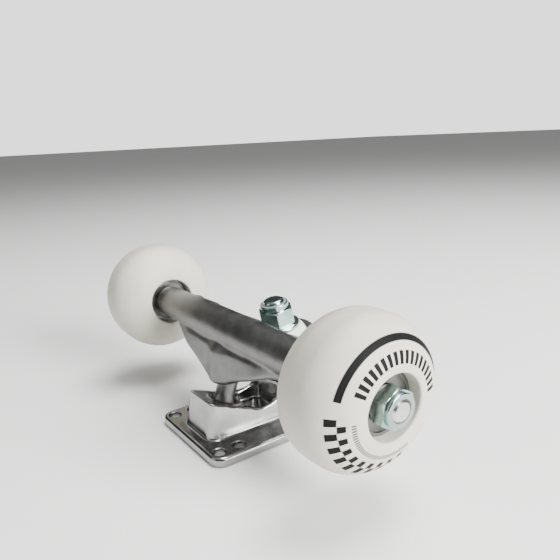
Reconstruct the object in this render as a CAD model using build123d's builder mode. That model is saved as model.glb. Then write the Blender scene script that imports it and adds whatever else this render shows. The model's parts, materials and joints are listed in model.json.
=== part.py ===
"""A skateboard truck with two wheels, standing on its base plate.

Frame: X runs along the axle, -Y is the kingpin side, +Y the pivot side and Z goes up from the face
that bolts to the deck. The origin is the centre of the long bolt pattern on that face. Millimetres.
"""
from build123d import *
import math
import os

# ---------------------------------------------------------------- driving dimensions
# Base plate and its deck bolts
PLATE_WIDTH = 53.0
PLATE_FRONT_MARGIN = 6.35
PLATE_REAR_MARGIN = 4.85
PLATE_THICKNESS = 4.1
PLATE_CORNER_R = 5.5
PLATE_EDGE_R = 1.4
BOLT_HOLE_D = 5.5
BOLT_SPACING_X = 41.275
BOLT_SPACING_LONG = 63.5
BOLT_SPACING_SHORT = 53.975

# Pedestal: pivot block at the rear, low side walls, kingpin boss at the front
PEDESTAL_FRONT_Y = -36.8
PEDESTAL_REAR_Y = 31.2
PEDESTAL_FRONT_HALF = 13.9
PEDESTAL_REAR_HALF = 13.4
PEDESTAL_CORNER_R = 6.0
PEDESTAL_DRAFT = 10.0
BLOCK_TOP_Z = 20.2
BLOCK_SLOPE = 21.3
SLOPE_END_Y = 8.0
WALL_LOW_Y = 2.2
WALL_LOW_Z = 11.3
WALL_BOSS_Y = -3.6
WALL_BOSS_Z = 12.9
WALL_THICKNESS = 3.0
POCKET_REAR_Y = 8.2
POCKET_FRONT_Y = -6.4
POCKET_FLOOR = 2.0
POCKET_HALF = 9.2
BOSS_REAR_REACH = 11.2
BOSS_FRONT_TOP_Y = -29.9

# Kingpin and what is stacked on it
KINGPIN_D = 9.5
KINGPIN_LEAN = 12.0
SEAT_Y = -19.0
SEAT_Z = 21.4
KINGPIN_HEAD_D = 16.0
KINGPIN_HEAD_H = 5.0
KINGPIN_HEAD_SINK = 2.2
KINGPIN_END = 34.6
KINGPIN_END_R = 1.6
BOTTOM_WASHER_R = 13.5
BOTTOM_WASHER_T = 2.0
BOTTOM_WASHER_RIM = 1.8
WASHER_RIM_T = 0.8
WASHER_EDGE_R = 0.7
BOTTOM_BUSHING_R = 12.2
BOTTOM_BUSHING_BULGE = 0.5
BOTTOM_BUSHING_H = 12.4
TOP_BUSHING_BASE_R = 12.0
TOP_BUSHING_TOP_R = 9.8
TOP_BUSHING_BULGE = 0.3
TOP_BUSHING_H = 3.9
TOP_WASHER_R = 9.4
TOP_WASHER_T = 1.7
KINGPIN_NUT_AF = 14.3
KINGPIN_NUT_HEX_H = 7.6
KINGPIN_NUT_COLLAR_R = 6.3
KINGPIN_NUT_COLLAR_H = 2.6
BUSHING_CLEARANCE = 0.3

# Hanger
HANGER_LENGTH = 127.0
HANGER_TIP_R = 7.5
WEB_END_R = 7.6
HANGER_MID_R = 8.6
HANGER_TIP_EDGE_R = 0.8
AXLE_BEHIND_KINGPIN = 22.734
AXLE_ABOVE_RING = 13.711
RING_R = 15.5
RING_T = 4.0
RING_SEAT_DEPTH = 0.6
RING_HOLE_R = 6.9
WEB_END_X = 45.0
WEB_CORNER_R = 1.5
CAVITY_FOOT_HALF = 13.3
CAVITY_FOOT_BACK = 13.8
CAVITY_TOP_HALF = 23.0
CAVITY_TOP_BACK = 19.1
CAVITY_TOP_ABOVE_RING = 21.0
CAVITY_CORNER_R = 8.0

# Pivot: a ball-ended nose on the hanger in a plastic cup in the base plate
PIVOT_Y = 17.4
PIVOT_Z = 13.6
PIVOT_BALL_R = 5.5
PIVOT_NECK_R = 4.4
PIVOT_CLEARANCE = 0.05
CUP_WALL = 1.6
CUP_FLOOR = 1.6
CUP_MOUTH_CHAMFER = 0.6

# Axle and its nuts
AXLE_D = 8.0
AXLE_END_REACH = 0.4
AXLE_END_CHAMFER = 1.0
SPEED_WASHER_R = 6.3
SPEED_WASHER_T = 1.0
AXLE_NUT_AF = 12.7
AXLE_NUT_HEX_H = 4.6
AXLE_NUT_COLLAR_R = 5.8
AXLE_NUT_COLLAR_H = 1.3
INSERT_WALL = 1.0
HEX_CORNER_BEVEL = 30.0
NUT_COLLAR_EDGE_R = 0.5

# Bearings (8 x 22 x 7) and the spacer between the two of a wheel
BEARING_OD = 22.0
BEARING_WIDTH = 7.0
INNER_RING_R = 6.05
OUTER_RING_BORE_R = 9.0
BALL_D = 3.969
BALL_PITCH_R = 7.5
BALL_COUNT = 7
RACE_CLEARANCE = 0.03
RING_CHAMFER = 0.3
SHIELD_T = 0.4
SHIELD_INSET = 0.4
SHIELD_SEAT_R = 9.6
SHIELD_GAP = 0.3
CAGE_BACK = 1.05
CAGE_FRONT = 4.2
CAGE_HALF_WIDTH = 0.8
CAGE_POCKET_CLEARANCE = 0.06
SPACER_LENGTH = 10.0
SPACER_R = 5.8

# Wheel
WHEEL_D = 53.6
WHEEL_WIDTH = 33.3
TREAD_FLAT = 4.4
WHEEL_SHOULDER_R = 10.9
WHEEL_LIP_R = 1.0
WHEEL_WEB_R = 8.6
RECESS_FLARE = 0.15

# ---------------------------------------------------------------- derived places
ROW_FRONT = -BOLT_SPACING_LONG / 2
ROW_REAR = BOLT_SPACING_LONG / 2
ROW_MIDDLE = ROW_FRONT + BOLT_SPACING_SHORT
PLATE_FRONT_Y = ROW_FRONT - PLATE_FRONT_MARGIN
PLATE_REAR_Y = ROW_REAR + PLATE_REAR_MARGIN
PLATE_LENGTH = PLATE_REAR_Y - PLATE_FRONT_Y
PLATE_MID_Y = (PLATE_REAR_Y + PLATE_FRONT_Y) / 2

LEAN = math.radians(KINGPIN_LEAN)
KINGPIN_DIR = Vector(0, math.sin(LEAN), math.cos(LEAN))
BACK_DIR = Vector(0, math.cos(LEAN), -math.sin(LEAN))
SEAT = Vector(0, SEAT_Y, SEAT_Z)
SEAT_PLANE = Plane(origin=SEAT, x_dir=(1, 0, 0), z_dir=KINGPIN_DIR)
KINGPIN_SECTION = Plane(origin=SEAT, x_dir=(1, 0, 0), z_dir=-BACK_DIR)
KINGPIN_AXIS = Axis(SEAT, KINGPIN_DIR)
KINGPIN_R = KINGPIN_D / 2

# Heights up the kingpin, measured from the seat
BUSHING_FOOT = BOTTOM_WASHER_T
RING_LOW = BUSHING_FOOT + BOTTOM_BUSHING_H - RING_SEAT_DEPTH
RING_MID = RING_LOW + RING_T / 2
RING_HIGH = RING_LOW + RING_T
TOP_BUSHING_FOOT = RING_HIGH - RING_SEAT_DEPTH
TOP_WASHER_LOW = TOP_BUSHING_FOOT + TOP_BUSHING_H
NUT_LOW = TOP_WASHER_LOW + TOP_WASHER_T
NUT_COLLAR_LOW = NUT_LOW + KINGPIN_NUT_HEX_H
# The head's top face lies this far down the kingpin from the seat
HEAD_TOP_DEPTH = (SEAT_Z - KINGPIN_HEAD_SINK) / math.cos(LEAN) - KINGPIN_HEAD_H

RING_CENTRE = SEAT + KINGPIN_DIR * RING_MID
AXLE_CENTRE = RING_CENTRE + BACK_DIR * AXLE_BEHIND_KINGPIN + KINGPIN_DIR * AXLE_ABOVE_RING
AXLE_SECTION = Plane(origin=AXLE_CENTRE, x_dir=(1, 0, 0), z_dir=(0, -1, 0))
AXLE_AXIS = Axis(AXLE_CENTRE, (1, 0, 0))
AXLE_R = AXLE_D / 2

PIVOT = Vector(0, PIVOT_Y, PIVOT_Z)
SLOPE = math.radians(BLOCK_SLOPE)
CUP_DIR = Vector(0, -math.sin(SLOPE), math.cos(SLOPE))
CUP_SECTION = Plane(origin=PIVOT, x_dir=(1, 0, 0), z_dir=(0, -CUP_DIR.Z, CUP_DIR.Y))
CUP_AXIS = Axis(PIVOT, CUP_DIR)
CUP_BORE_R = PIVOT_BALL_R + PIVOT_CLEARANCE
CUP_R = CUP_BORE_R + CUP_WALL
CUP_FOOT = CUP_BORE_R + CUP_FLOOR
DRAFT_RUN = math.tan(math.radians(PEDESTAL_DRAFT))
BLOCK_REAR_TOP_Y = PEDESTAL_REAR_Y - (BLOCK_TOP_Z - PLATE_THICKNESS) * DRAFT_RUN
# The cup's mouth is flush with the block's slope where its axis leaves the block
CUP_MOUTH_Z = BLOCK_TOP_Z - (BLOCK_REAR_TOP_Y - PIVOT_Y) * math.tan(SLOPE)
CUP_MOUTH = (CUP_MOUTH_Z - PIVOT_Z) * math.cos(SLOPE)
# The neck ends inside the web, halfway between its underside and the axle
NECK_LENGTH = (AXLE_CENTRE.Z - PIVOT_Z) / 2

# Places along the axle, measured from the middle of the truck
HANGER_END = HANGER_LENGTH / 2
INNER_BEARING_X = HANGER_END + SPEED_WASHER_T
SPACER_X = INNER_BEARING_X + BEARING_WIDTH
OUTER_BEARING_X = SPACER_X + SPACER_LENGTH
OUTER_WASHER_X = OUTER_BEARING_X + BEARING_WIDTH
AXLE_NUT_X = OUTER_WASHER_X + SPEED_WASHER_T
AXLE_NUT_END = AXLE_NUT_X + AXLE_NUT_HEX_H + AXLE_NUT_COLLAR_H
AXLE_LENGTH = 2 * (AXLE_NUT_END + AXLE_END_REACH)
WHEEL_MID_X = SPACER_X + SPACER_LENGTH / 2
WHEEL_R = WHEEL_D / 2
BEARING_R = BEARING_OD / 2
SHIELD_BORE_R = INNER_RING_R + SHIELD_GAP
BALL_R = BALL_D / 2

SIDES = {"left": -1, "right": 1}


def save(builder, name):
    """Label a finished piece and write it under its node's name."""
    builder.part.label = name
    export_step(builder.part, f"parts/{name}.step")


def on_slope(y):
    """Height of the pivot block's sloping top at y."""
    return BLOCK_TOP_Z - (BLOCK_REAR_TOP_Y - y) * math.tan(SLOPE)


def boss_height(y):
    """Height of the kingpin seat's plane at y."""
    return SEAT_Z - (y - SEAT_Y) * math.tan(LEAN)


# ---------------------------------------------------------------- base plate
def make_pedestal():
    """Pivot block, side walls and kingpin boss as one drafted casting."""
    boss_rear_y = SEAT_Y + BOSS_REAR_REACH
    side_rear_y = PEDESTAL_REAR_Y + PLATE_THICKNESS * DRAFT_RUN
    with BuildPart() as pedestal:
        with BuildSketch(Plane.YZ):
            with BuildLine():
                Polyline(
                    (SLOPE_END_Y, on_slope(SLOPE_END_Y)),
                    (PEDESTAL_REAR_Y + 1, on_slope(PEDESTAL_REAR_Y + 1)),
                    (PEDESTAL_REAR_Y + 1, 0),
                    (PEDESTAL_FRONT_Y, 0),
                    (PEDESTAL_FRONT_Y, PLATE_THICKNESS),
                    (BOSS_FRONT_TOP_Y, boss_height(BOSS_FRONT_TOP_Y)),
                    (boss_rear_y, boss_height(boss_rear_y)),
                )
                Spline(
                    (boss_rear_y, boss_height(boss_rear_y)),
                    (WALL_BOSS_Y, WALL_BOSS_Z),
                    (WALL_LOW_Y, WALL_LOW_Z),
                    (SLOPE_END_Y, on_slope(SLOPE_END_Y)),
                    tangents=[
                        (math.sin(LEAN), -math.cos(LEAN)),
                        (math.cos(SLOPE), math.sin(SLOPE)),
                    ],
                )
            make_face()
        extrude(amount=PLATE_WIDTH / 2, both=True)
        with BuildSketch(Plane.XY) as footprint:
            Polygon(
                (-PEDESTAL_FRONT_HALF, PEDESTAL_FRONT_Y - PLATE_THICKNESS),
                (PEDESTAL_FRONT_HALF, PEDESTAL_FRONT_Y - PLATE_THICKNESS),
                (PEDESTAL_REAR_HALF, side_rear_y),
                (-PEDESTAL_REAR_HALF, side_rear_y),
                align=None,
            )
            fillet(footprint.vertices(), PEDESTAL_CORNER_R)
        extrude(amount=SEAT_Z * 1.5, taper=PEDESTAL_DRAFT, mode=Mode.INTERSECT)
    return pedestal.part


def make_baseplate():
    """The cast base plate with its deck holes, kingpin bore, pocket and pivot socket."""
    with BuildPart() as baseplate:
        with BuildSketch():
            with Locations((0, PLATE_MID_Y)):
                RectangleRounded(PLATE_WIDTH, PLATE_LENGTH, PLATE_CORNER_R)
        extrude(amount=PLATE_THICKNESS)
        fillet(baseplate.edges().group_by(Axis.Z)[-1], PLATE_EDGE_R)
        add(make_pedestal())
        # Pocket between the side walls
        with BuildSketch(Plane.XY.offset(PLATE_THICKNESS + POCKET_FLOOR)) as pocket:
            with Locations((0, (POCKET_REAR_Y + POCKET_FRONT_Y) / 2)):
                RectangleRounded(
                    2 * POCKET_HALF,
                    POCKET_REAR_Y - POCKET_FRONT_Y,
                    WALL_THICKNESS,
                )
        extrude(amount=SEAT_Z, taper=-PEDESTAL_DRAFT / 2, mode=Mode.SUBTRACT)
        # Deck bolt holes
        with BuildSketch():
            with Locations(
                *[
                    (side * BOLT_SPACING_X / 2, row)
                    for side in SIDES.values()
                    for row in (ROW_FRONT, ROW_MIDDLE, ROW_REAR)
                ]
            ):
                Circle(BOLT_HOLE_D / 2)
        extrude(amount=PLATE_THICKNESS, mode=Mode.SUBTRACT)
        # Kingpin bore, and a recess under the plate for the kingpin's head
        with BuildSketch(SEAT_PLANE):
            Circle(KINGPIN_R)
        extrude(amount=-2 * SEAT_Z, mode=Mode.SUBTRACT)
        with BuildSketch(SEAT_PLANE.offset(-HEAD_TOP_DEPTH)):
            Circle(KINGPIN_HEAD_D / 2)
        extrude(amount=-2 * SEAT_Z, mode=Mode.SUBTRACT)
        # Socket for the pivot cup
        with BuildSketch(CUP_SECTION):
            with BuildLine():
                Polyline(*cup_outline(PIVOT_BALL_R * 3), close=True)
            make_face()
        revolve(axis=CUP_AXIS, mode=Mode.SUBTRACT)
    return baseplate


def cup_outline(mouth_height):
    """Half section of the cup's outside, closed along its axis."""
    return [
        (0, -CUP_FOOT),
        (CUP_R - CUP_WALL, -CUP_FOOT),
        (CUP_R, -CUP_FOOT + CUP_WALL),
        (CUP_R, mouth_height),
        (0, mouth_height),
    ]


def make_pivot_cup():
    """Plastic cup that holds the hanger's nose."""
    with BuildPart() as cup:
        with BuildSketch(CUP_SECTION):
            with BuildLine():
                Polyline(*cup_outline(CUP_MOUTH), close=True)
            make_face()
        revolve(axis=CUP_AXIS)
        with BuildSketch(CUP_SECTION):
            with BuildLine():
                bowl = CenterArc((0, 0), CUP_BORE_R, -90, 90)
                Polyline(
                    bowl @ 1,
                    (CUP_BORE_R, CUP_MOUTH - CUP_MOUTH_CHAMFER),
                    (CUP_BORE_R + 2 * CUP_MOUTH_CHAMFER, CUP_MOUTH + CUP_MOUTH_CHAMFER),
                    (0, CUP_MOUTH + CUP_MOUTH_CHAMFER),
                    bowl @ 0,
                )
            make_face()
        revolve(axis=CUP_AXIS, mode=Mode.SUBTRACT)
    return cup


# ---------------------------------------------------------------- kingpin stack
def make_kingpin():
    """Headed bolt pressed in from under the base plate, with a rounded end."""
    head_foot = -HEAD_TOP_DEPTH - KINGPIN_HEAD_H
    with BuildPart() as kingpin:
        with BuildSketch(SEAT_PLANE.offset(head_foot)):
            Circle(KINGPIN_HEAD_D / 2)
        extrude(amount=KINGPIN_HEAD_H)
        with BuildSketch(SEAT_PLANE.offset(head_foot)):
            Circle(KINGPIN_R)
        extrude(amount=KINGPIN_END - head_foot)
        end_edge = kingpin.edges().filter_by(GeomType.CIRCLE).sort_by(KINGPIN_AXIS)[-1]
        fillet(end_edge, KINGPIN_END_R)
    return kingpin


def make_bottom_washer():
    """Pressed washer on the seat, with a raised rim that holds the bottom bushing."""
    rim_top = BOTTOM_WASHER_T + BOTTOM_WASHER_RIM
    rim_inner_r = BOTTOM_WASHER_R - WASHER_RIM_T
    with BuildPart() as washer:
        with BuildSketch(KINGPIN_SECTION) as section:
            with BuildLine():
                Polyline(
                    (KINGPIN_R, 0),
                    (BOTTOM_WASHER_R, 0),
                    (BOTTOM_WASHER_R, rim_top),
                    (rim_inner_r, rim_top),
                    (rim_inner_r, BOTTOM_WASHER_T),
                    (KINGPIN_R, BOTTOM_WASHER_T),
                    close=True,
                )
            make_face()
            foot_corner = section.vertices().group_by(Axis.X)[-1].sort_by(Axis.Z)[0]
            fillet(foot_corner, WASHER_EDGE_R)
        revolve(axis=KINGPIN_AXIS)
    return washer


def make_top_washer():
    """Plain washer between the top bushing and the nut, with its outer edges rounded."""
    with BuildPart() as washer:
        with BuildSketch(SEAT_PLANE.offset(TOP_WASHER_LOW)):
            Circle(TOP_WASHER_R)
        extrude(amount=TOP_WASHER_T)
        fillet(washer.edges().filter_by(GeomType.CIRCLE), WASHER_EDGE_R)
        with BuildSketch(SEAT_PLANE.offset(TOP_WASHER_LOW)):
            Circle(KINGPIN_R)
        extrude(amount=TOP_WASHER_T, mode=Mode.SUBTRACT)
    return washer


def make_bushing(foot, height, foot_r, top_r, bulge):
    """Urethane bushing, barrel or cone, standing at foot on the kingpin."""
    with BuildPart() as bushing:
        with BuildSketch(KINGPIN_SECTION):
            with BuildLine():
                Polyline(
                    (top_r, foot + height),
                    (KINGPIN_R, foot + height),
                    (KINGPIN_R, foot),
                    (foot_r, foot),
                )
                ThreePointArc(
                    (foot_r, foot),
                    ((foot_r + top_r) / 2 + bulge, foot + height / 2),
                    (top_r, foot + height),
                )
            make_face()
        revolve(axis=KINGPIN_AXIS)
    return bushing


def make_lock_nut(plane, across_flats, hex_height, collar_r, collar_height, bore_r):
    """Hexagon nut with bevelled corners and a collar bored for a nylon insert."""
    corner_r = across_flats / math.sqrt(3)
    bevel = (corner_r - across_flats / 2) * math.tan(math.radians(HEX_CORNER_BEVEL))
    with BuildPart() as nut:
        with BuildSketch(plane):
            RegularPolygon(across_flats / 2, 6, major_radius=False, rotation=30)
        extrude(amount=hex_height)
        turned = Plane(origin=plane.origin, x_dir=plane.x_dir, z_dir=-plane.y_dir)
        with BuildSketch(turned):
            with BuildLine():
                Polyline(
                    (0, 0),
                    (across_flats / 2, 0),
                    (corner_r, bevel),
                    (corner_r, hex_height - bevel),
                    (across_flats / 2, hex_height),
                    (0, hex_height),
                    close=True,
                )
            make_face()
        revolve(axis=Axis(plane.origin, plane.z_dir), mode=Mode.INTERSECT)
        with BuildSketch(plane.offset(hex_height)):
            Circle(collar_r)
        extrude(amount=collar_height)
        nut_axis = Axis(plane.origin, plane.z_dir)
        collar_edge = nut.edges().filter_by(GeomType.CIRCLE).sort_by(nut_axis)[-1]
        fillet(collar_edge, NUT_COLLAR_EDGE_R)
        with BuildSketch(plane):
            Circle(bore_r)
        extrude(amount=hex_height + collar_height, mode=Mode.SUBTRACT)
        with BuildSketch(plane.offset(hex_height)):
            Circle(bore_r + INSERT_WALL)
        extrude(amount=collar_height, mode=Mode.SUBTRACT)
    return nut


def make_insert(plane, height, bore_r):
    """Nylon ring that fills the collar of a lock nut."""
    with BuildPart() as insert:
        with BuildSketch(plane):
            Circle(bore_r + INSERT_WALL)
            Circle(bore_r, mode=Mode.SUBTRACT)
        extrude(amount=height)
    return insert


# ---------------------------------------------------------------- hanger
# Sections of the hanger's web. Each row is a distance from the middle and the section's corners as
# (back, up) from the axle's centre: top, front edge, lower front, underside, lower back, upper back.
WEB_SECTIONS = [
    (0.0, (-1, 8.0), (-27.4, -6.1), (-21.4, -11.2), (3.0, -20.9), (12.8, -21.2), (11.3, -6.5)),
    (7.0, (-1, 8.0), (-27.4, -6.1), (-21.4, -11.2), (3.0, -20.0), (11.2, -20.4), (9.6, -6.0)),
    (14.0, (-1, 8.0), (-27.4, -6.1), (-20.4, -11.5), (0.0, -16.4), (10.8, -17.2), (9.0, -5.6)),
    (20.0, (-1, 7.9), (-21.4, -3.3), (-17.4, -12.6), (-2.0, -14.2), (10.5, -14.6), (8.8, -5.4)),
    (25.0, (-1, 7.8), (-16.4, -0.4), (-12.6, -12.2), (-1.4, -12.6), (10.3, -12.8), (8.6, -5.2)),
    (31.0, (-1, 7.6), (-12.9, 1.3), (-8.6, -9.8), (-0.5, -10.2), (9.5, -10.4), (8.0, -4.8)),
    (38.0, (-1, 7.3), (-9.9, 3.0), (-5.2, -7.8), (0.0, -8.2), (7.2, -8.3), (6.6, -4.2)),
    (45.0, (-1, 6.8), (-5.0, 4.6), (-2.4, -6.2), (0.0, -6.6), (2.6, -6.2), (4.6, -3.4)),
]


def make_web():
    """Web between the axle body, the ring and the nose, lofted through its sections."""
    rows = [(-x, corners) for x, *corners in reversed(WEB_SECTIONS[1:])]
    rows += [(x, corners) for x, *corners in WEB_SECTIONS]
    with BuildPart() as web:
        for x, corners in rows:
            with BuildSketch(Plane.YZ.offset(x * WEB_END_X / WEB_SECTIONS[-1][0])) as section:
                with BuildLine():
                    Polyline(
                        *[(AXLE_CENTRE.Y + back, AXLE_CENTRE.Z + up) for back, up in corners],
                        close=True,
                    )
                make_face()
                fillet(section.vertices(), WEB_CORNER_R)
        loft()
    return web.part


def make_cavity():
    """Space round the kingpin nut and the top bushing, open to the front and the top."""
    with BuildPart() as cavity:
        for height, half, back in (
            (RING_HIGH, CAVITY_FOOT_HALF, CAVITY_FOOT_BACK),
            (RING_MID + CAVITY_TOP_ABOVE_RING, CAVITY_TOP_HALF, CAVITY_TOP_BACK),
        ):
            with BuildSketch(SEAT_PLANE.offset(height)):
                with Locations((0, (back - 3 * RING_R) / 2)):
                    RectangleRounded(2 * half, back + 3 * RING_R, CAVITY_CORNER_R)
        loft()
    return cavity.part


def make_hanger():
    """Cast hanger: axle body, web, ring for the bushings and ball-ended pivot nose."""
    with BuildPart() as hanger:
        # Axle body, tapering from the middle to the tips
        with BuildSketch(AXLE_SECTION):
            with BuildLine():
                Polyline(
                    (-HANGER_END, 0),
                    (-HANGER_END, HANGER_TIP_R - HANGER_TIP_EDGE_R),
                    (-HANGER_END + HANGER_TIP_EDGE_R, HANGER_TIP_R),
                    (-WEB_END_X, WEB_END_R),
                )
                Spline(
                    (-WEB_END_X, WEB_END_R),
                    (0, HANGER_MID_R),
                    (WEB_END_X, WEB_END_R),
                )
                Polyline(
                    (WEB_END_X, WEB_END_R),
                    (HANGER_END - HANGER_TIP_EDGE_R, HANGER_TIP_R),
                    (HANGER_END, HANGER_TIP_R - HANGER_TIP_EDGE_R),
                    (HANGER_END, 0),
                    (-HANGER_END, 0),
                )
            make_face()
        revolve(axis=AXLE_AXIS)
        add(make_web())
        # Nose: a neck from the web down to the ball
        with BuildSketch(Plane(origin=PIVOT, x_dir=(1, 0, 0), z_dir=CUP_DIR)):
            Circle(PIVOT_NECK_R)
        extrude(amount=NECK_LENGTH)
        # Ring, with the cavity and the bushing seats cut from it
        with BuildSketch(SEAT_PLANE.offset(RING_LOW)):
            Circle(RING_R)
        extrude(amount=RING_T)
        add(make_cavity(), mode=Mode.SUBTRACT)
        with BuildSketch(SEAT_PLANE.offset(BOTTOM_WASHER_T)):
            Circle(BOTTOM_BUSHING_R + BUSHING_CLEARANCE + BOTTOM_BUSHING_BULGE)
        extrude(amount=BOTTOM_BUSHING_H, mode=Mode.SUBTRACT)
        with BuildSketch(SEAT_PLANE.offset(TOP_BUSHING_FOOT)):
            Circle(TOP_BUSHING_BASE_R + BUSHING_CLEARANCE)
        extrude(amount=RING_T, mode=Mode.SUBTRACT)
        with BuildSketch(SEAT_PLANE):
            Circle(RING_HOLE_R)
        extrude(amount=RING_HIGH, mode=Mode.SUBTRACT)
        with Locations(PIVOT):
            Sphere(PIVOT_BALL_R)
        # Bore that the axle is cast into
        with BuildSketch(Plane.YZ.offset(-HANGER_END)):
            with Locations((AXLE_CENTRE.Y, AXLE_CENTRE.Z)):
                Circle(AXLE_R)
        extrude(amount=HANGER_LENGTH, mode=Mode.SUBTRACT)
    return hanger


def make_axle():
    """Steel axle with chamfered ends."""
    with BuildPart() as axle:
        with BuildSketch(Plane.YZ.offset(-AXLE_LENGTH / 2)):
            with Locations((AXLE_CENTRE.Y, AXLE_CENTRE.Z)):
                Circle(AXLE_R)
        extrude(amount=AXLE_LENGTH)
        chamfer(axle.edges().filter_by(GeomType.CIRCLE), AXLE_END_CHAMFER)
    return axle


# ---------------------------------------------------------------- wheel side
def turned(side, outline):
    """Turn a half section of (distance from the middle, radius) points about the axle."""
    with BuildPart() as piece:
        with BuildSketch(AXLE_SECTION):
            with BuildLine():
                Polyline(*[(side * x, r) for x, r in outline], close=True)
            make_face()
        revolve(axis=AXLE_AXIS)
    return piece


def tube_outline(x, length, inner_r, outer_r):
    """Half section of a plain tube or washer that starts at x."""
    return [(x, inner_r), (x, outer_r), (x + length, outer_r), (x + length, inner_r)]


def make_inner_ring(side, x):
    """Bearing inner ring with its ball groove."""
    end = x + BEARING_WIDTH
    with BuildPart() as ring:
        with BuildSketch(AXLE_SECTION) as section:
            with BuildLine():
                Polyline(
                    (side * x, AXLE_R),
                    (side * x, INNER_RING_R - RING_CHAMFER),
                    (side * (x + RING_CHAMFER), INNER_RING_R),
                    (side * (end - RING_CHAMFER), INNER_RING_R),
                    (side * end, INNER_RING_R - RING_CHAMFER),
                    (side * end, AXLE_R),
                    close=True,
                )
            make_face()
            with Locations((side * (x + BEARING_WIDTH / 2), BALL_PITCH_R)):
                Circle(BALL_R + RACE_CLEARANCE, mode=Mode.SUBTRACT)
        revolve(axis=AXLE_AXIS)
    return ring


def make_outer_ring(side, x):
    """Bearing outer ring with its ball groove and a seat for a shield at each end."""
    end = x + BEARING_WIDTH
    seat = SHIELD_INSET + SHIELD_T
    with BuildPart() as ring:
        with BuildSketch(AXLE_SECTION) as section:
            with BuildLine():
                Polyline(
                    (side * x, SHIELD_SEAT_R),
                    (side * x, BEARING_R - RING_CHAMFER),
                    (side * (x + RING_CHAMFER), BEARING_R),
                    (side * (end - RING_CHAMFER), BEARING_R),
                    (side * end, BEARING_R - RING_CHAMFER),
                    (side * end, SHIELD_SEAT_R),
                    (side * (end - seat), SHIELD_SEAT_R),
                    (side * (end - seat), OUTER_RING_BORE_R),
                    (side * (x + seat), OUTER_RING_BORE_R),
                    (side * (x + seat), SHIELD_SEAT_R),
                    close=True,
                )
            make_face()
            with Locations((side * (x + BEARING_WIDTH / 2), BALL_PITCH_R)):
                Circle(BALL_R + RACE_CLEARANCE, mode=Mode.SUBTRACT)
        revolve(axis=AXLE_AXIS)
    return ring


def make_shields(side, x):
    """The two thin steel shields of a bearing."""
    with BuildPart() as shields:
        for start in (x + SHIELD_INSET, x + BEARING_WIDTH - SHIELD_INSET - SHIELD_T):
            with BuildSketch(AXLE_SECTION):
                with Locations((side * (start + SHIELD_T / 2), (SHIELD_SEAT_R + SHIELD_BORE_R) / 2)):
                    Rectangle(SHIELD_T, SHIELD_SEAT_R - SHIELD_BORE_R)
            revolve(axis=AXLE_AXIS)
    return shields


def ball_plane(side, x):
    """Plane through the centres of a bearing's balls."""
    centre = AXLE_CENTRE + Vector(side * (x + BEARING_WIDTH / 2), 0, 0)
    return Plane(origin=centre, x_dir=(0, 1, 0), z_dir=(1, 0, 0))


def make_balls(side, x):
    """A bearing's ring of balls."""
    with BuildPart() as balls:
        with Locations(ball_plane(side, x)):
            with PolarLocations(BALL_PITCH_R, BALL_COUNT):
                Sphere(BALL_R)
    return balls


def make_cage(side, x):
    """Crown cage, closed behind the balls and open in front of them."""
    low_r = BALL_PITCH_R - CAGE_HALF_WIDTH
    high_r = BALL_PITCH_R + CAGE_HALF_WIDTH
    with BuildPart() as cage:
        with BuildSketch(AXLE_SECTION):
            with Locations((side * (x + (CAGE_BACK + CAGE_FRONT) / 2), BALL_PITCH_R)):
                Rectangle(CAGE_FRONT - CAGE_BACK, high_r - low_r)
        revolve(axis=AXLE_AXIS)
        with Locations(ball_plane(side, x)):
            with PolarLocations(BALL_PITCH_R, BALL_COUNT):
                Sphere(BALL_R + CAGE_POCKET_CLEARANCE, mode=Mode.SUBTRACT)
    return cage


def make_wheel(side):
    """Urethane wheel: flat tread, elliptical shoulders, a bearing seat in each face."""
    half = WHEEL_WIDTH / 2
    flat = TREAD_FLAT / 2
    shoulder_w = half - flat
    shoulder_h = WHEEL_R - WHEEL_SHOULDER_R
    lip_r = BEARING_R + RECESS_FLARE
    with BuildPart() as wheel:
        with BuildSketch(AXLE_SECTION) as section:
            with Locations((side * (WHEEL_MID_X - flat), WHEEL_SHOULDER_R)):
                Ellipse(shoulder_w, shoulder_h)
            with Locations((side * (WHEEL_MID_X + flat), WHEEL_SHOULDER_R)):
                Ellipse(shoulder_w, shoulder_h)
            with Locations((side * WHEEL_MID_X, WHEEL_R / 2)):
                Rectangle(TREAD_FLAT, WHEEL_R)
            # Everything inside the web's bore is open, and nothing is left beyond the axle
            with Locations((side * WHEEL_MID_X, (WHEEL_WEB_R - WHEEL_R) / 2)):
                Rectangle(2 * WHEEL_WIDTH, WHEEL_WEB_R + WHEEL_R, mode=Mode.SUBTRACT)
            with BuildLine():
                Polyline(
                    (side * SPACER_X, 0),
                    (side * SPACER_X, BEARING_R),
                    (side * INNER_BEARING_X, BEARING_R),
                    (side * (WHEEL_MID_X - WHEEL_WIDTH), BEARING_R + RECESS_FLARE),
                    (side * (WHEEL_MID_X - WHEEL_WIDTH), 0),
                    close=True,
                )
            make_face(mode=Mode.SUBTRACT)
            with BuildLine():
                Polyline(
                    (side * OUTER_BEARING_X, 0),
                    (side * OUTER_BEARING_X, BEARING_R),
                    (side * OUTER_WASHER_X, BEARING_R),
                    (side * (WHEEL_MID_X + WHEEL_WIDTH), BEARING_R + RECESS_FLARE),
                    (side * (WHEEL_MID_X + WHEEL_WIDTH), 0),
                    close=True,
                )
            make_face(mode=Mode.SUBTRACT)
            lips = section.vertices().filter_by(lambda v: abs(abs(v.X) - WHEEL_MID_X) > half - 0.5)
            fillet(lips, WHEEL_LIP_R)
        revolve(axis=AXLE_AXIS)
    return wheel


# ---------------------------------------------------------------- write every piece
os.makedirs("parts", exist_ok=True)

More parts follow.
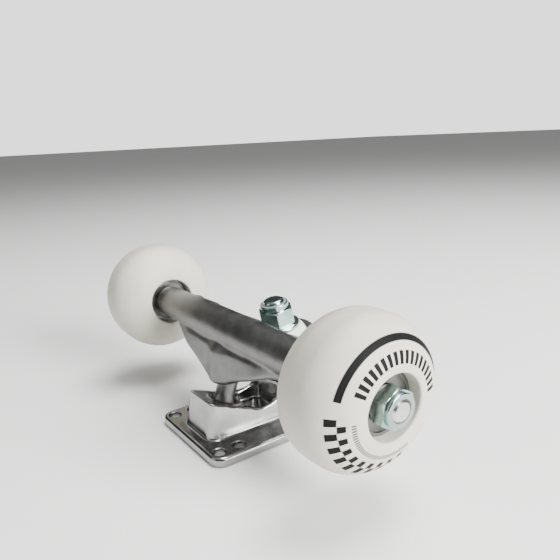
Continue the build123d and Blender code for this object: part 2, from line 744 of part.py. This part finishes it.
save(make_baseplate(), "baseplate")
save(make_pivot_cup(), "pivot_cup")
save(make_kingpin(), "kingpin")
save(make_bottom_washer(), "bottom_washer")
save(
    make_bushing(
        BUSHING_FOOT, BOTTOM_BUSHING_H, BOTTOM_BUSHING_R, BOTTOM_BUSHING_R, BOTTOM_BUSHING_BULGE
    ),
    "bottom_bushing",
)
save(
    make_bushing(
        TOP_BUSHING_FOOT, TOP_BUSHING_H, TOP_BUSHING_BASE_R, TOP_BUSHING_TOP_R, TOP_BUSHING_BULGE
    ),
    "top_bushing",
)
save(make_top_washer(), "top_washer")
save(
    make_lock_nut(
        SEAT_PLANE.offset(NUT_LOW),
        KINGPIN_NUT_AF,
        KINGPIN_NUT_HEX_H,
        KINGPIN_NUT_COLLAR_R,
        KINGPIN_NUT_COLLAR_H,
        KINGPIN_R,
    ),
    "kingpin_nut",
)
save(
    make_insert(SEAT_PLANE.offset(NUT_COLLAR_LOW), KINGPIN_NUT_COLLAR_H, KINGPIN_R),
    "kingpin_nut_insert",
)
save(make_hanger(), "hanger")
save(make_axle(), "axle")

for side_name, side in SIDES.items():
    save(make_wheel(side), f"{side_name}_wheel")
    for place, x in (("inner", INNER_BEARING_X), ("outer", OUTER_BEARING_X)):
        bearing = f"{side_name}_{place}_bearing"
        save(make_inner_ring(side, x), f"{bearing}_inner_ring")
        save(make_outer_ring(side, x), f"{bearing}_outer_ring")
        save(make_shields(side, x), f"{bearing}_shields")
        save(make_balls(side, x), f"{bearing}_balls")
        save(make_cage(side, x), f"{bearing}_cage")
    for place, x in (("inner", HANGER_END), ("outer", OUTER_WASHER_X)):
        washer = turned(side, tube_outline(x, SPEED_WASHER_T, AXLE_R, SPEED_WASHER_R))
        save(washer, f"{side_name}_{place}_speed_washer")
    save(
        turned(side, tube_outline(SPACER_X, SPACER_LENGTH, AXLE_R, SPACER_R)),
        f"{side_name}_bearing_spacer",
    )
    nut_plane = Plane(
        origin=AXLE_CENTRE + Vector(side * AXLE_NUT_X, 0, 0), x_dir=(0, 1, 0), z_dir=(side, 0, 0)
    )
    save(
        make_lock_nut(
            nut_plane, AXLE_NUT_AF, AXLE_NUT_HEX_H, AXLE_NUT_COLLAR_R, AXLE_NUT_COLLAR_H, AXLE_R
        ),
        f"{side_name}_axle_nut",
    )
    save(
        make_insert(nut_plane.offset(AXLE_NUT_HEX_H), AXLE_NUT_COLLAR_H, AXLE_R),
        f"{side_name}_axle_nut_insert",
    )
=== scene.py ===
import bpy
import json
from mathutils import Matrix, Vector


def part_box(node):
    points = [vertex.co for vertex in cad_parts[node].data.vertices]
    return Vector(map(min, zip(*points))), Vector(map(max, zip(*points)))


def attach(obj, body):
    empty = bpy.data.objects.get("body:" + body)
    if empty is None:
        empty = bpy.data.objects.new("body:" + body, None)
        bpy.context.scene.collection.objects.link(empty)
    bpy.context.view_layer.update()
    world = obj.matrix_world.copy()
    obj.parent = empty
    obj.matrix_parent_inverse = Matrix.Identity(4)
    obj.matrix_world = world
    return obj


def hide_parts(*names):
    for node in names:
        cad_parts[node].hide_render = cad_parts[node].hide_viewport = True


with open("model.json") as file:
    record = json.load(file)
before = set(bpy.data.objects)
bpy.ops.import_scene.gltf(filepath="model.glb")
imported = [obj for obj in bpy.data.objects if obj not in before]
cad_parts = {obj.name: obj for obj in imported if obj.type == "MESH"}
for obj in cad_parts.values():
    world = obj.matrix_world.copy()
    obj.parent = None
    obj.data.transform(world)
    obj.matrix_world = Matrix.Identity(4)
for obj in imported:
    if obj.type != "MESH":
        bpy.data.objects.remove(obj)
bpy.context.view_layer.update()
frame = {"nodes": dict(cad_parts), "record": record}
nodes = frame["nodes"]

# %% Modules used below
import json
import math

import bmesh
import bpy
from mathutils import Matrix, Vector

SIDES = {"left": -1, "right": 1}

# %% [markdown]
# The axle's centre is needed again and again, to centre turned patterns on it. It is measured from
# the axle itself, so it stays right if the frame changes.
# %% Measure the axle
axle_low, axle_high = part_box("axle")
AXLE = (axle_low + axle_high) / 2
wheel_low, wheel_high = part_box("left_wheel")
WHEEL_R = (wheel_high.z - wheel_low.z) / 2
WHEEL_X = abs((wheel_low.x + wheel_high.x) / 2)
print("axle centre", tuple(round(v, 5) for v in AXLE), "wheel radius", round(WHEEL_R, 5))

# %% [markdown]
# Every finish below is a node graph on a Principled shader. One helper adds a node, sets its inputs
# and links what is already a socket. Patterns read Object coordinates. All pieces sit at the origin,
# so one metre in the pattern is one metre on the truck, and grain keeps its real size.
# %% Helpers for node graphs
GRAIN = 2600.0
BLOTCH = 160.0


def add_node(tree, kind, inputs=None, **settings):
    """Add a node; each input is a value, or a socket to link."""
    made = tree.nodes.new(kind)
    for key, value in settings.items():
        setattr(made, key, value)
    for key, value in (inputs or {}).items():
        if isinstance(value, bpy.types.NodeSocket):
            tree.links.new(value, made.inputs[key])
        else:
            made.inputs[key].default_value = value
    return made


def calc(tree, operation, first, second=0.0):
    """A Math node's result."""
    return add_node(tree, "ShaderNodeMath", {0: first, 1: second}, operation=operation).outputs[0]


def new_finish(name):
    """An empty finish: the material, its tree, its shader and Object coordinates."""
    material = bpy.data.materials.new(name)
    material.use_nodes = True
    tree = material.node_tree
    shader = tree.nodes["Principled BSDF"]
    place = add_node(tree, "ShaderNodeTexCoord").outputs["Object"]
    return material, tree, shader, place


def noise(tree, place, scale, detail=3.0):
    """Even noise at a scale of so many features a metre."""
    inputs = {"Vector": place, "Scale": scale, "Detail": detail}
    return add_node(tree, "ShaderNodeTexNoise", inputs).outputs["Fac"]


def spread(tree, value, low, high, to_low, to_high):
    """Stretch a value from one range to another, held at the ends."""
    inputs = {0: value, 1: low, 2: high, 3: to_low, 4: to_high}
    return add_node(tree, "ShaderNodeMapRange", inputs).outputs[0]


def blend_colours(tree, factor, first, second):
    """Mix two colours."""
    mixer = add_node(tree, "ShaderNodeMix", data_type="RGBA")
    for socket, value in ((mixer.inputs[0], factor), (mixer.inputs[6], first), (mixer.inputs[7], second)):
        if isinstance(value, bpy.types.NodeSocket):
            tree.links.new(value, socket)
        else:
            socket.default_value = value
    return mixer.outputs[2]


def bump(tree, height, distance, strength=1.0):
    """Turn a height into a surface normal; distance is in metres."""
    inputs = {"Height": height, "Distance": distance, "Strength": strength}
    return add_node(tree, "ShaderNodeBump", inputs).outputs["Normal"]


print("helpers ready")

# %% [markdown]
# Metal parts differ in colour, in how evenly they shine and in grain. A casting that was tumbled and
# buffed has soft blotches and fine pits, while a ground or plated part is nearly even. One function
# makes them all, because only the amounts differ.
# %% Metal finishes
def metal(name, light, dark, rough, grain_depth, grain=GRAIN, stretch=(1, 1, 1)):
    """Bare or plated metal: blotched colour, uneven shine and a fine grain."""
    material, tree, shader, place = new_finish(name)
    blotches = noise(tree, place, BLOTCH, 4.0)
    drawn = add_node(tree, "ShaderNodeMapping", {"Vector": place, "Scale": stretch}).outputs[0]
    fine = noise(tree, drawn, grain, 5.0)
    colour = blend_colours(tree, spread(tree, blotches, 0.35, 0.65, 0, 1), dark, light)
    uneven = calc(tree, "ADD", calc(tree, "MULTIPLY", blotches, 0.6), calc(tree, "MULTIPLY", fine, 0.4))
    tree.links.new(colour, shader.inputs["Base Color"])
    tree.links.new(spread(tree, uneven, 0.3, 0.7, *rough), shader.inputs["Roughness"])
    tree.links.new(bump(tree, fine, grain_depth), shader.inputs["Normal"])
    shader.inputs["Metallic"].default_value = 1.0
    return material


FINISHES = {
    "hanger_alloy": metal(
        "hanger_alloy", (0.23, 0.23, 0.225, 1), (0.18, 0.18, 0.175, 1), (0.34, 0.46), 0.000025, 1500.0
    ),
    "baseplate_alloy": metal(
        "baseplate_alloy", (0.42, 0.42, 0.415, 1), (0.33, 0.33, 0.325, 1), (0.14, 0.26), 0.00002, 1200.0
    ),
    "zinc_steel": metal(
        "zinc_steel", (0.46, 0.58, 0.55, 1), (0.30, 0.42, 0.40, 1), (0.14, 0.26), 0.000008
    ),
    "washer_steel": metal(
        "washer_steel", (0.58, 0.64, 0.62, 1), (0.44, 0.52, 0.50, 1), (0.12, 0.24), 0.000006
    ),
    "axle_steel": metal(
        "axle_steel", (0.66, 0.66, 0.65, 1), (0.54, 0.54, 0.53, 1), (0.20, 0.34), 0.000006,
        GRAIN, (4, 1, 1),
    ),
    "bearing_steel": metal(
        "bearing_steel", (0.36, 0.36, 0.35, 1), (0.26, 0.26, 0.25, 1), (0.12, 0.24), 0.000003
    ),
    "shield_steel": metal(
        "shield_steel", (0.20, 0.20, 0.195, 1), (0.13, 0.13, 0.125, 1), (0.26, 0.40), 0.000005
    ),
    "spacer_alloy": metal(
        "spacer_alloy", (0.74, 0.74, 0.74, 1), (0.64, 0.64, 0.64, 1), (0.22, 0.34), 0.000006
    ),
}
print("metals", sorted(FINISHES))


# %% [markdown]
# Urethane and moulded plastic are not metal: a little light goes in and comes out again, which
# softens their shading. Moulded surfaces also carry a very shallow texture from their mould.
# %% Plastic and urethane finishes
def moulded(name, light, dark, rough, soft, skin_depth, skin=GRAIN):
    """Plastic or urethane: faint clouding, a moulded skin and some light passing under it."""
    material, tree, shader, place = new_finish(name)
    clouds = noise(tree, place, BLOTCH, 2.0)
    fine = noise(tree, place, skin, 3.0)
    colour = blend_colours(tree, spread(tree, clouds, 0.3, 0.7, 0, 1), dark, light)
    tree.links.new(colour, shader.inputs["Base Color"])
    tree.links.new(spread(tree, fine, 0.3, 0.7, *rough), shader.inputs["Roughness"])
    tree.links.new(bump(tree, fine, skin_depth), shader.inputs["Normal"])
    shader.inputs["Subsurface Weight"].default_value = soft
    shader.inputs["Subsurface Scale"].default_value = 0.002
    return material


FINISHES.update({
    "bushing_urethane": moulded(
        "bushing_urethane", (0.80, 0.81, 0.77, 1), (0.72, 0.73, 0.69, 1), (0.28, 0.42), 0.25, 0.00001
    ),
    "cup_plastic": moulded(
        "cup_plastic", (0.045, 0.045, 0.045, 1), (0.03, 0.03, 0.03, 1), (0.40, 0.55), 0.0, 0.00002
    ),
    "insert_nylon": moulded(
        "insert_nylon", (0.30, 0.32, 0.31, 1), (0.22, 0.24, 0.23, 1), (0.35, 0.50), 0.2, 0.00001
    ),
    "cage_nylon": moulded(
        "cage_nylon", (0.16, 0.15, 0.14, 1), (0.11, 0.10, 0.10, 1), (0.40, 0.55), 0.0, 0.00001
    ),
})
print("finishes", len(FINISHES))

# %% [markdown]
# The wheel is off-white urethane with a dark print in rings on its curved outer face. Each ring is a
# range of radius and a range of angle about the axle, so the print is made from polar coordinates: a
# Mapping node puts the zero on the axle, and a few Math nodes give radius and angle. Plain bars and
# checks stand in for any lettering. Radii are in metres, and angles in degrees, anticlockwise from the
# right as one looks at the face.
# %% The wheel's print
INK = (0.010, 0.010, 0.010, 1)
EDGE = 0.00012
FACE_START = 0.004
JOIN = -30.0
BAR_PITCH = 8.4
CHECK_PITCH = 12.6
TICK_PITCH = 3.2
BAR_SHARE = 0.6
TICK_STRENGTH = 0.9
ARC_RADII, ARC_ANGLES = (0.0203, 0.0222), (14, 160.5)
BAR_RADII, BAR_ANGLES = (0.0139, 0.0178), (4, 155)
OUTER_CHECK_RADII, INNER_CHECK_RADII = (0.0206, 0.0234), (0.0182, 0.0206)
CHECK_ANGLES = (174, 292)
TICK_RADII, TICK_ANGLES = (0.0152, 0.0167), (181, 296)
WHEEL_CLOUDS = 70.0
WHEEL_SKIN = 3400.0
WHEEL_DARK, WHEEL_LIGHT = (0.58, 0.55, 0.47, 1), (0.65, 0.625, 0.545, 1)


def band(tree, value, low, high, softness=EDGE):
    """1 between low and high, 0 outside, with a soft edge."""
    rising = spread(tree, value, low - softness, low + softness, 0, 1)
    falling = spread(tree, value, high - softness, high + softness, 1, 0)
    return calc(tree, "MULTIPLY", rising, falling)


def stripes(tree, angle, start, pitch, share=0.5):
    """1 on stripes a pitch apart from the start, each covering that share of it; degrees."""
    passed = calc(tree, "SUBTRACT", angle, math.radians(start))
    turns = calc(tree, "DIVIDE", passed, math.radians(pitch))
    return calc(tree, "LESS_THAN", calc(tree, "FRACT", turns), share)


def sector(tree, angle, start, end):
    """1 between two angles, anticlockwise from the viewer's right, in degrees."""
    return band(tree, angle, math.radians(start), math.radians(end), 0.006)


def ring(tree, radius, angle, low, high, start, end, *patterns):
    """A printed ring: a range of radius, a range of angle, and any patterns within it."""
    mask = calc(tree, "MULTIPLY", band(tree, radius, low, high), sector(tree, angle, start, end))
    for pattern in patterns:
        mask = calc(tree, "MULTIPLY", mask, pattern)
    return mask


def wheel_finish(side_name):
    """Urethane with the printed rings on the face that points away from the hanger."""
    side = SIDES[side_name]
    material, tree, shader, place = new_finish(f"wheel_urethane_{side_name}")
    centre = (-side * WHEEL_X, -AXLE.y, -AXLE.z)
    centred = add_node(tree, "ShaderNodeMapping", {"Vector": place, "Location": centre}).outputs[0]
    across, along, up = add_node(tree, "ShaderNodeSeparateXYZ", {0: centred}).outputs
    outward = calc(tree, "MULTIPLY", across, side)
    to_right = calc(tree, "MULTIPLY", along, side)
    squares = calc(tree, "ADD", calc(tree, "MULTIPLY", along, along), calc(tree, "MULTIPLY", up, up))
    radius = calc(tree, "SQRT", squares)
    # The join in the angle is moved to a part of the face that has no print
    plain = calc(tree, "ARCTAN2", up, to_right)
    wrap = calc(tree, "MULTIPLY", calc(tree, "LESS_THAN", plain, math.radians(JOIN)), 2 * math.pi)
    angle = calc(tree, "ADD", plain, wrap)
    rings = [
        ring(tree, radius, angle, *ARC_RADII, *ARC_ANGLES),
        ring(
            tree, radius, angle, *BAR_RADII, *BAR_ANGLES,
            stripes(tree, angle, BAR_ANGLES[0], BAR_PITCH, BAR_SHARE),
        ),
        ring(
            tree, radius, angle, *OUTER_CHECK_RADII, *CHECK_ANGLES,
            stripes(tree, angle, CHECK_ANGLES[0], CHECK_PITCH),
        ),
        ring(
            tree, radius, angle, *INNER_CHECK_RADII, *CHECK_ANGLES,
            stripes(tree, angle, CHECK_ANGLES[0] - CHECK_PITCH / 2, CHECK_PITCH),
        ),
    ]
    ticks = ring(
        tree, radius, angle, *TICK_RADII, *TICK_ANGLES,
        stripes(tree, angle, TICK_ANGLES[0], TICK_PITCH, BAR_SHARE),
    )
    rings.append(calc(tree, "MULTIPLY", ticks, TICK_STRENGTH))
    ink = rings[0]
    for printed in rings[1:]:
        ink = calc(tree, "MAXIMUM", ink, printed)
    ink = calc(tree, "MULTIPLY", ink, calc(tree, "GREATER_THAN", outward, FACE_START))
    clouds = noise(tree, place, WHEEL_CLOUDS, 2.0)
    fine = noise(tree, place, WHEEL_SKIN, 3.0)
    base = blend_colours(tree, spread(tree, clouds, 0.3, 0.7, 0, 1), WHEEL_DARK, WHEEL_LIGHT)
    tree.links.new(blend_colours(tree, ink, base, INK), shader.inputs["Base Color"])
    tree.links.new(spread(tree, fine, 0.3, 0.7, 0.42, 0.56), shader.inputs["Roughness"])
    # Matt ink mirrors less light than the urethane round it
    tree.links.new(spread(tree, ink, 0, 1, 0.4, 0.05), shader.inputs["Specular IOR Level"])
    tree.links.new(bump(tree, fine, 0.000012), shader.inputs["Normal"])
    shader.inputs["Subsurface Weight"].default_value = 0.08
    shader.inputs["Subsurface Scale"].default_value = 0.001
    return material


for side_name in SIDES:
    FINISHES[f"wheel_urethane_{side_name}"] = wheel_finish(side_name)
print("wheel finishes made")

# %% [markdown]
# A wheel is turned, so it is made as a lathe would make it: one half section spun about the axle. The
# shoulders are quarter ellipses. A circle, cut to a quarter and stretched, gives each one, and the
# lips of the recess are bevelled after the spin.
# %% Turn a wheel
TREAD_HALF_FLAT = 0.0022
WHEEL_HALF_WIDTH = 0.01665
SHOULDER_R = 0.0109
SEAT_R = 0.0110
RECESS_R = 0.01103
BORE_R = 0.0086
SEAT_START = 0.0050
LIP_R = 0.0010
LIP_SLACK = 0.0002
SHOULDER_STEPS = 28
TURN_STEPS = 160
AXIS_X = Vector((1, 0, 0))


def add_shoulder(bm, direction):
    """A quarter ellipse from the tread to the face on one side; returns it from tread to face."""
    made = bmesh.ops.create_circle(bm, segments=4 * SHOULDER_STEPS, radius=1.0)["verts"]
    quarter = [v for v in made if v.co.x * direction > -1e-6 and v.co.y > -1e-6]
    bmesh.ops.delete(bm, geom=[v for v in made if v not in quarter], context="VERTS")
    width = WHEEL_HALF_WIDTH - TREAD_HALF_FLAT
    bmesh.ops.scale(bm, vec=(width, WHEEL_R - SHOULDER_R, 1.0), verts=quarter)
    bmesh.ops.translate(bm, vec=(direction * TREAD_HALF_FLAT, SHOULDER_R, 0.0), verts=quarter)
    return sorted(quarter, key=lambda v: -v.co.y)


def turn_wheel(side_name):
    """The wheel's mesh, in place on the axle."""
    side = SIDES[side_name]
    bm = bmesh.new()
    right = add_shoulder(bm, 1)
    left = add_shoulder(bm, -1)
    right[-1].co.y = RECESS_R
    left[-1].co.y = RECESS_R
    hollow = [
        bm.verts.new((x, r, 0.0))
        for x, r in ((SEAT_START, SEAT_R), (SEAT_START, BORE_R), (-SEAT_START, BORE_R), (-SEAT_START, SEAT_R))
    ]
    for first, second in zip(right[:1] + right[-1:] + hollow + left[-1:], left[:1] + hollow + left[-1:]):
        if first is not second and not bm.edges.get((first, second)):
            bm.edges.new((first, second))
    bmesh.ops.rotate(bm, verts=bm.verts, cent=(0, 0, 0), matrix=Matrix.Rotation(math.pi / 2, 3, "X"))
    bmesh.ops.spin(
        bm, geom=bm.verts[:] + bm.edges[:], cent=(0, 0, 0), axis=AXIS_X, angle=2 * math.pi,
        steps=TURN_STEPS, use_merge=True,
    )
    bmesh.ops.remove_doubles(bm, verts=bm.verts, dist=1e-7)
    lips = [
        e for e in bm.edges
        if all(
            abs(abs(v.co.x) - WHEEL_HALF_WIDTH) < LIP_SLACK and v.co.yz.length < SEAT_R + LIP_SLACK / 2
            for v in e.verts
        )
        and abs(e.verts[0].co.x - e.verts[1].co.x) < 1e-7
    ]
    bmesh.ops.bevel(
        bm, geom=lips, offset=LIP_R, offset_type="OFFSET", affect="EDGES", segments=5, profile=0.5,
        material=-1, clamp_overlap=True,
    )
    bmesh.ops.translate(bm, vec=(side * WHEEL_X, AXLE.y, AXLE.z), verts=bm.verts)
    bmesh.ops.recalc_face_normals(bm, faces=bm.faces)
    return bm


def to_object(bm, name, finish, smooth_angle=0.6):
    """Finish a bmesh as an object at the origin, smooth except at sharp edges."""
    mesh = bpy.data.meshes.new(name)
    open_edges = sum(1 for e in bm.edges if len(e.link_faces) != 2)
    volume = bm.calc_volume()
    for edge in bm.edges:
        edge.smooth = len(edge.link_faces) == 2 and edge.calc_face_angle(0.0) < smooth_angle
    for face in bm.faces:
        face.smooth = True
    bm.to_mesh(mesh)
    bm.free()
    mesh.materials.append(FINISHES[finish])
    piece = bpy.data.objects.new(name, mesh)
    bpy.context.scene.collection.objects.link(piece)
    print(name, "faces", len(mesh.polygons), "open edges", open_edges, "volume cm3", round(volume * 1e6, 2))
    return piece


for side_name in SIDES:
    piece = to_object(turn_wheel(side_name), f"{side_name}_wheel_turned", f"wheel_urethane_{side_name}")
    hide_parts(f"{side_name}_wheel")
    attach(piece, f"{side_name}_wheel")

# %% [markdown]
# The hanger and the base plate are castings, polished after they leave the mould. Their edges are all
# soft, and surfaces that meet at a line in a drawing flow into each other. A copy of each measured
# part is remeshed finely and then smoothed, which rounds every edge alike. The hanger is smoothed
# more, because its web and ring flow together further.
# %% Soften the castings
def softened(node, name, finish, voxel, passes):
    """A copy of a measured part with its edges rounded as a polished casting's are."""
    bm = bmesh.new()
    bm.from_mesh(nodes[node].data)
    bmesh.ops.remove_doubles(bm, verts=bm.verts, dist=1e-6)
    piece = to_object(bm, name, finish)
    remesh = piece.modifiers.new("remesh", "REMESH")
    remesh.mode = "VOXEL"
    remesh.voxel_size = voxel
    remesh.use_smooth_shade = True
    smooth = piece.modifiers.new("soften", "SMOOTH")
    smooth.factor = 0.5
    smooth.iterations = passes
    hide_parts(node)
    return piece


hanger = softened("hanger", "hanger_casting", "hanger_alloy", 0.0005, 18)
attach(hanger, "hanger")
baseplate = softened("baseplate", "baseplate_casting", "baseplate_alloy", 0.00045, 4)
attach(baseplate, "base")
view_layer_graph = bpy.context.evaluated_depsgraph_get()
for casting in (hanger, baseplate):
    print(casting.name, "triangles about", 2 * len(casting.evaluated_get(view_layer_graph).data.polygons))

# %% [markdown]
# The other parts already have the right shape, so they keep it and take a finish by the record's
# material slots.
# %% Finish the parts that keep their shape
for part in frame["record"]["subparts"]:
    slot = part["material_slot"]
    if slot in FINISHES:
        for index in range(max(1, len(nodes[part["node"]].data.materials))):
            nodes[part["node"]].material_slots[index].material = FINISHES[slot]

# %% [markdown]
# A plain pale floor and large soft lights make a studio. Polished metal shows what is round it, so
# the sky is bright overhead and darker near the horizon. That gives the castings the long dark and
# light streaks that make them read as metal.
# %% Studio
floor_mesh = bpy.data.meshes.new("studio_floor")
bm = bmesh.new()
bmesh.ops.create_grid(bm, x_segments=1, y_segments=1, size=12.0)
bm.to_mesh(floor_mesh)
bm.free()
floor = bpy.data.objects.new("studio_floor", floor_mesh)
bpy.context.scene.collection.objects.link(floor)
floor.location.z = -0.0002
floor_finish, _, floor_shader, _ = new_finish("floor")
floor_shader.inputs["Base Color"].default_value = (0.93, 0.93, 0.92, 1)
floor_shader.inputs["Roughness"].default_value = 0.9
floor_mesh.materials.append(floor_finish)


def soft_light(name, place, size, power):
    """A square light that faces the truck's middle."""
    lamp = bpy.data.lights.new(name, "AREA")
    lamp.size = size
    lamp.energy = power
    holder = bpy.data.objects.new(name, lamp)
    bpy.context.scene.collection.objects.link(holder)
    holder.location = place
    holder.rotation_euler = (Vector((0, 0, 0.03)) - Vector(place)).to_track_quat("-Z", "Y").to_euler()
    return holder


soft_light("key", (-0.95, -0.25, 0.45), 0.45, 30)
soft_light("top", (-0.10, -0.20, 1.00), 0.5, 14)
soft_light("fill", (0.30, 1.00, 0.55), 0.5, 1.5)

world = bpy.data.worlds.new("studio")
bpy.context.scene.world = world
world.use_nodes = True
sky = world.node_tree
heading = add_node(sky, "ShaderNodeTexCoord").outputs["Generated"]
height = add_node(sky, "ShaderNodeSeparateXYZ", {0: heading}).outputs[2]
shade = add_node(sky, "ShaderNodeValToRGB", {0: spread(sky, height, -1, 1, 0, 1)})
shade.color_ramp.elements[0].color = (0.3, 0.3, 0.3, 1)
shade.color_ramp.elements[1].color = (0.6, 0.6, 0.6, 1)
# Each stop is a share of the way from straight down to straight up
for stop, tone in ((0.49, 0.30), (0.52, 0.015), (0.70, 0.03), (0.86, 0.30)):
    element = shade.color_ramp.elements.new(stop)
    element.color = (tone, tone, tone, 1)
seen = add_node(sky, "ShaderNodeLightPath").outputs["Is Camera Ray"]
# The camera sees a plain pale backdrop, while light and reflections come from the bands
backdrop = blend_colours(sky, seen, shade.outputs[0], (2.2, 2.2, 2.2, 1))
sky.links.new(backdrop, sky.nodes["Background"].inputs["Color"])
sky.nodes["Background"].inputs["Strength"].default_value = 0.9
print("studio ready")

# %% [markdown]
# The camera looks from behind the truck, above its left wheel. Its place and lens are what the
# deck bolt holes and the wheels' outlines gave.
# %% Camera
AZIMUTH, ELEVATION, ROLL = (math.radians(v) for v in (236.256, 22.262, -2.714))
CAMERA_PLACE = Vector((-0.19095, 0.11818, 0.12138))
away = Vector(
    (math.sin(AZIMUTH) * math.cos(ELEVATION), -math.cos(AZIMUTH) * math.cos(ELEVATION), math.sin(ELEVATION))
)
level = Vector((math.cos(AZIMUTH), math.sin(AZIMUTH), 0))
upright = away.cross(level)
right = level * math.cos(ROLL) + upright * math.sin(ROLL)
above = upright * math.cos(ROLL) - level * math.sin(ROLL)
camera_data = bpy.data.cameras.new("camera")
camera_data.lens = 34.87
camera_data.sensor_width = 36.0
camera_data.shift_x = 0.016
camera_data.shift_y = 0.141
camera_data.clip_start = 0.01
camera = bpy.data.objects.new("camera", camera_data)
bpy.context.scene.collection.objects.link(camera)
turn = Matrix((right, above, away)).transposed().to_4x4()
camera.matrix_world = Matrix.Translation(CAMERA_PLACE) @ turn
bpy.context.scene.camera = camera
print("camera at", tuple(round(v, 4) for v in camera.location))
